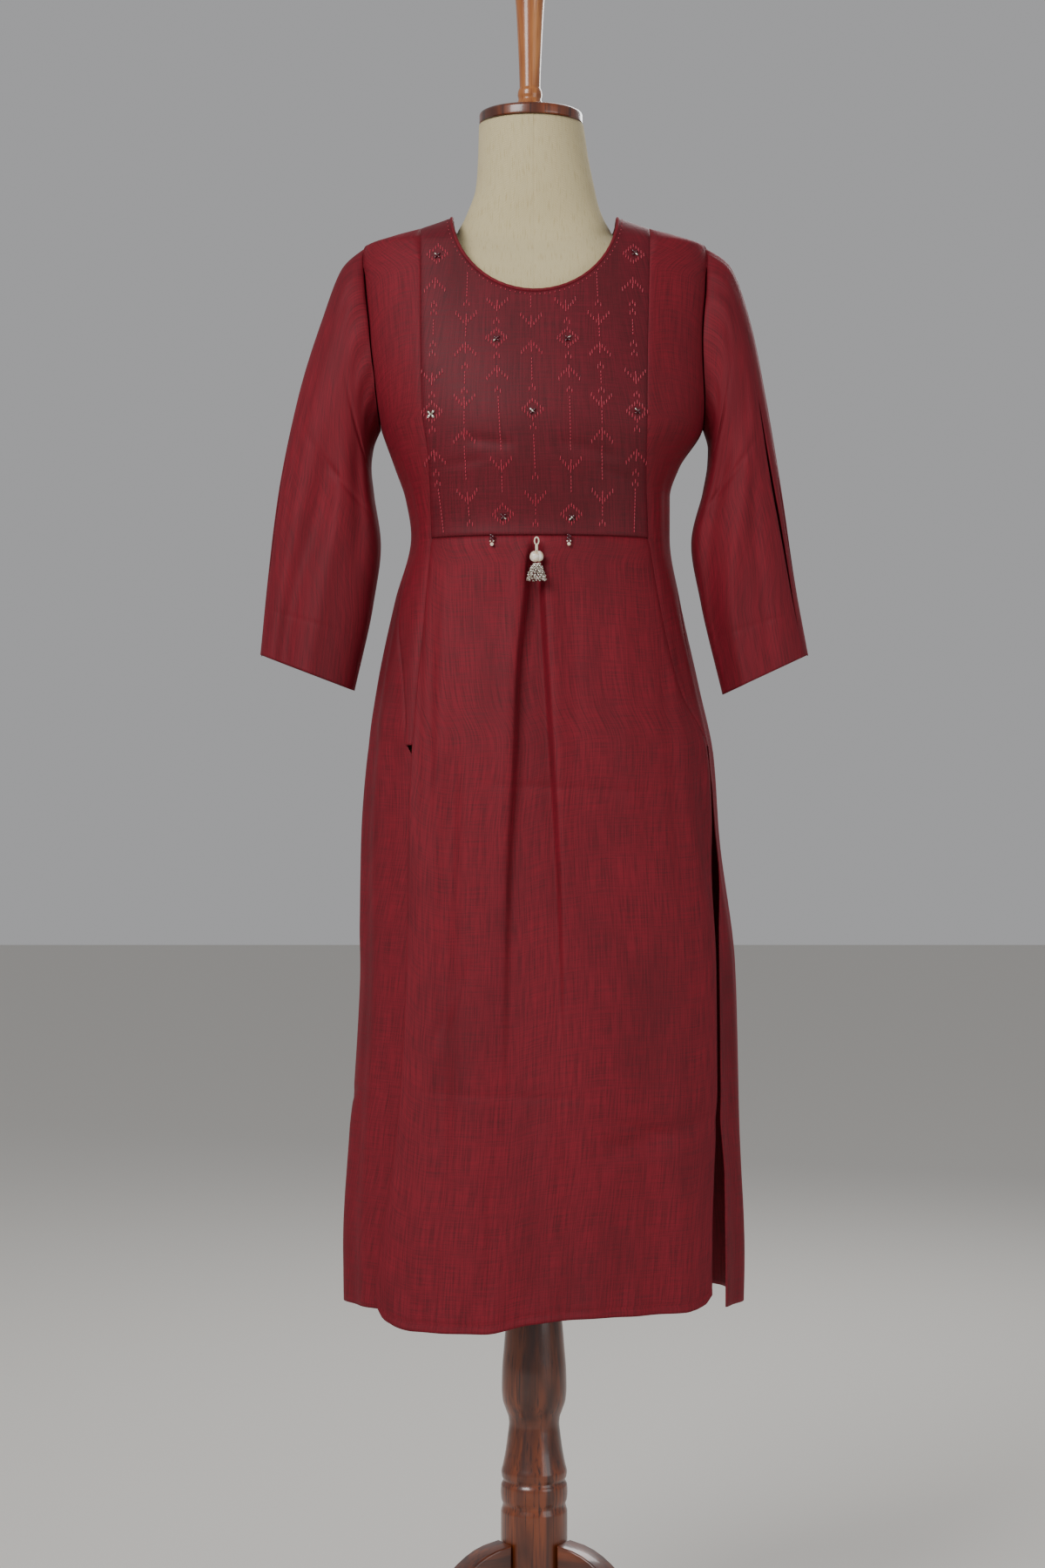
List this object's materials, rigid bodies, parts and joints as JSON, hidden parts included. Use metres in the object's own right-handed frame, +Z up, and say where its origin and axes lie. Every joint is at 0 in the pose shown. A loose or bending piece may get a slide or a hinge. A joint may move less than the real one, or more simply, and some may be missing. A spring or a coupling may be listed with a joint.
{
  "type": "kurta tunic on dress form",
  "caption": "Knee-length kurta tunic with an embroidered yoke, pleated A-line skirt, side slits and three-quarter sleeves, worn by a limbless dress form on a turned tripod stand.",
  "frame": {"origin": "on the floor, below the middle of the whole part's bounding box; the stand's axis is at x 0.000, y -0.067", "axes": "+X is the viewer's right when facing the front of the tunic, +Y points from the front to the back, +Z is up"},
  "size_m": [0.5664, 0.45, 1.81],
  "materials": {
    "kurta_cloth": "slubbed plain weave with a soft sheen",
    "yoke_cloth": "smooth plain weave under tonal embroidery",
    "form_linen": "matte herringbone linen",
    "dark_wood": "glossy varnish",
    "pale_wood": "satin varnish",
    "pearl": "pearl",
    "silver_beads": "silver-lined glass",
    "dark_beads": "dark red glass",
    "cord": "twisted thread"
  },
  "bodies": {
    "root": {"front_yoke": "yoke_cloth", "front_skirt": "kurta_cloth", "side_front_left": "kurta_cloth", "side_front_right": "kurta_cloth", "back": "kurta_cloth", "sleeve_left": "kurta_cloth", "sleeve_right": "kurta_cloth", "neck_binding": "kurta_cloth", "bead_cross_1": "silver_beads", "bead_cross_2": "silver_beads", "bead_cross_3": "silver_beads", "bead_cross_4": "silver_beads", "bead_cross_5": "silver_beads", "bead_cross_6": "silver_beads", "bead_cross_7": "silver_beads", "bead_cross_8": "silver_beads", "bead_cross_9": "silver_beads", "bead_drop_left": "dark_beads", "bead_drop_right": "dark_beads", "tassel_cord": "cord", "tassel_pearl": "pearl", "tassel_bead_bell": "silver_beads", "form_torso": "form_linen", "form_base_board": "dark_wood", "neck_cap": "dark_wood", "finial": "pale_wood", "stand_column": "dark_wood", "leg_front_left": "dark_wood", "leg_front_right": "dark_wood", "leg_back": "dark_wood"}
  },
  "joints": []
}
